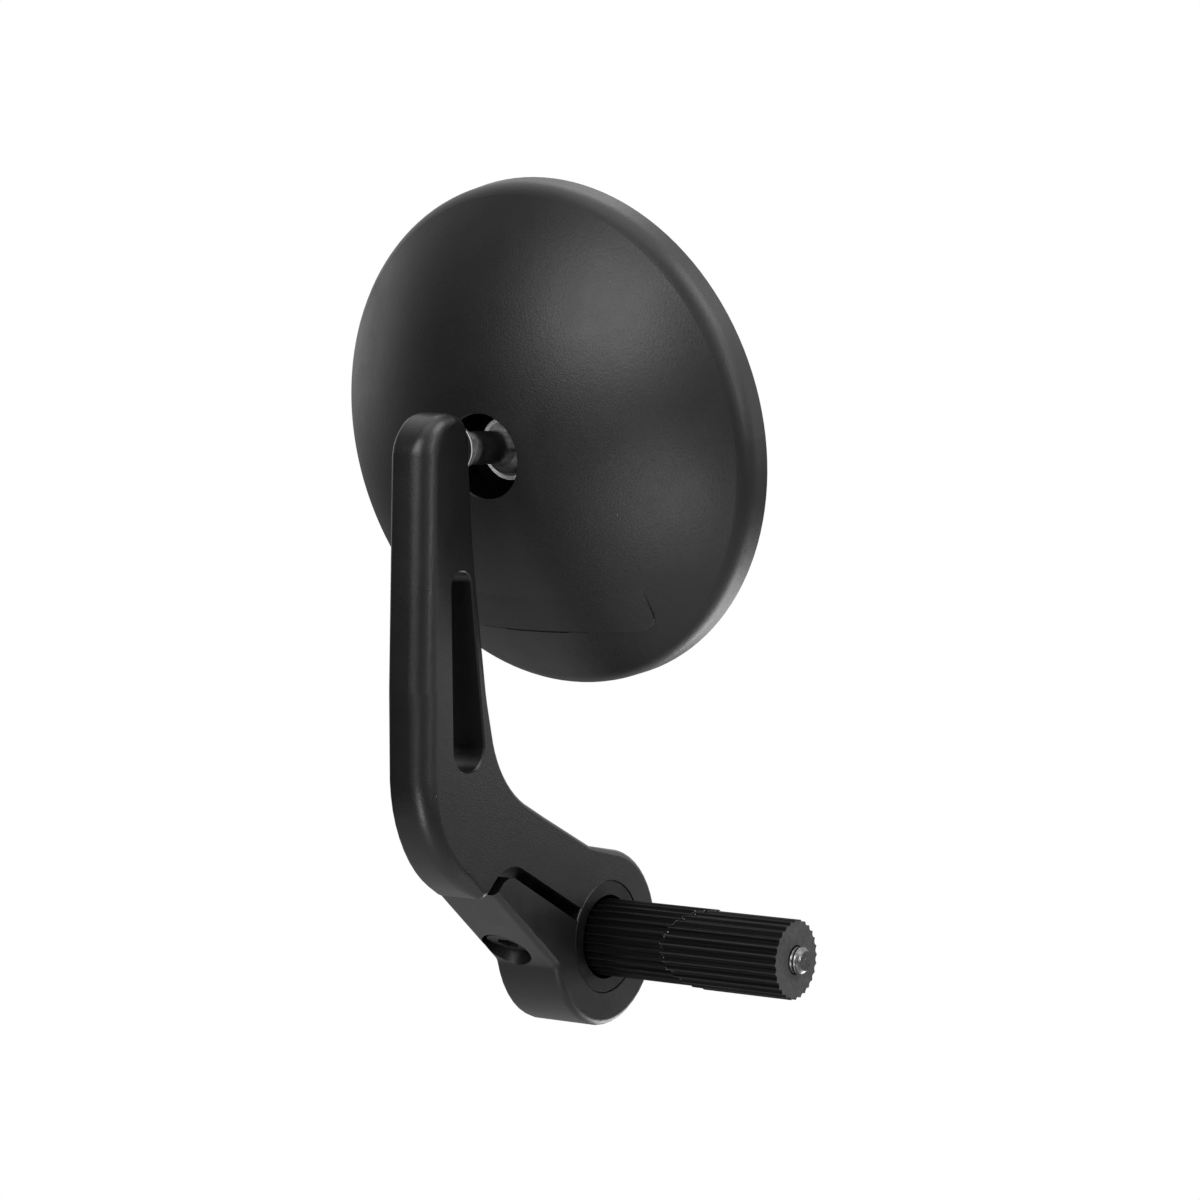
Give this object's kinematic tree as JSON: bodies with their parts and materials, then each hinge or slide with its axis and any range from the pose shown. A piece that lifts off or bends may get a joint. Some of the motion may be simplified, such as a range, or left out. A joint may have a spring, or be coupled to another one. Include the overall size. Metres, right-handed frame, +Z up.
{
  "type": "bar end mirror",
  "caption": "Round bar end mirror with a dished back on a ball stud, held by a slotted arm that clamps round a handlebar bush with a splined expander.",
  "frame": {"origin": "on the handlebar's axis, in the face of the bush that meets the end of the bar", "axes": "+X along the handlebar, into it; +Z up, towards the mirror head; +Y the side that the glass faces"},
  "size_m": [0.0973, 0.0758, 0.1638],
  "materials": {
    "arm_coat": "matte black powder coat on forged aluminium",
    "head_coat": "matte black powder coat on cast aluminium",
    "bush_anodised": "black anodised, fine turned marks",
    "expander_black": "black anodised with bare burrs at the cut",
    "black_steel": "black oxide",
    "tip_steel": "dark zinc, dull",
    "bright_steel": "bright zinc",
    "spring_steel": "plain spring steel",
    "seat_nylon": "natural nylon",
    "foam_tape": "black foam tape",
    "silvered_glass": "convex silvered glass"
  },
  "bodies": {
    "bar_end": {"bush": "bush_anodised", "expander_sleeve": "expander_black", "expander_wedge": "expander_black", "expander_screw": "tip_steel", "expander_washer": "bright_steel"},
    "arm": {"arm": "arm_coat", "clamp_screw": "black_steel", "ball_stud": "black_steel", "stud_washer": "bright_steel"},
    "seat": {"ball_seat": "seat_nylon"},
    "cup": {"pressure_cup": "spring_steel"},
    "head": {"mirror_housing": "head_coat", "retaining_ring": "bright_steel", "seat_spring": "spring_steel", "cover_plate": "bright_steel", "plate_screws": "bright_steel", "glass_tape": "foam_tape", "mirror_glass": "silvered_glass"}
  },
  "joints": [
    {"name": "arm_swivel", "type": "hinge", "parent": "bar_end", "child": "arm", "pos_m": [0, 0, 0], "axis": [1, 0, 0], "continuous": true},
    {"name": "head_pan", "type": "hinge", "parent": "arm", "child": "seat", "pos_m": [-0.0044, -0.02475, 0.09595], "axis": [0, 0, 1], "range_deg": [-14.3, 22.6]},
    {"name": "head_tilt", "type": "hinge", "parent": "seat", "child": "cup", "pos_m": [-0.0044, -0.02475, 0.09595], "axis": [0.9974, -0.072, 0], "range_deg": [-29.3, 7.6]},
    {"name": "head_spin", "type": "hinge", "parent": "cup", "child": "head", "pos_m": [-0.0044, -0.02475, 0.09595], "axis": [-0.0707, -0.9796, -0.1879], "continuous": true}
  ]
}
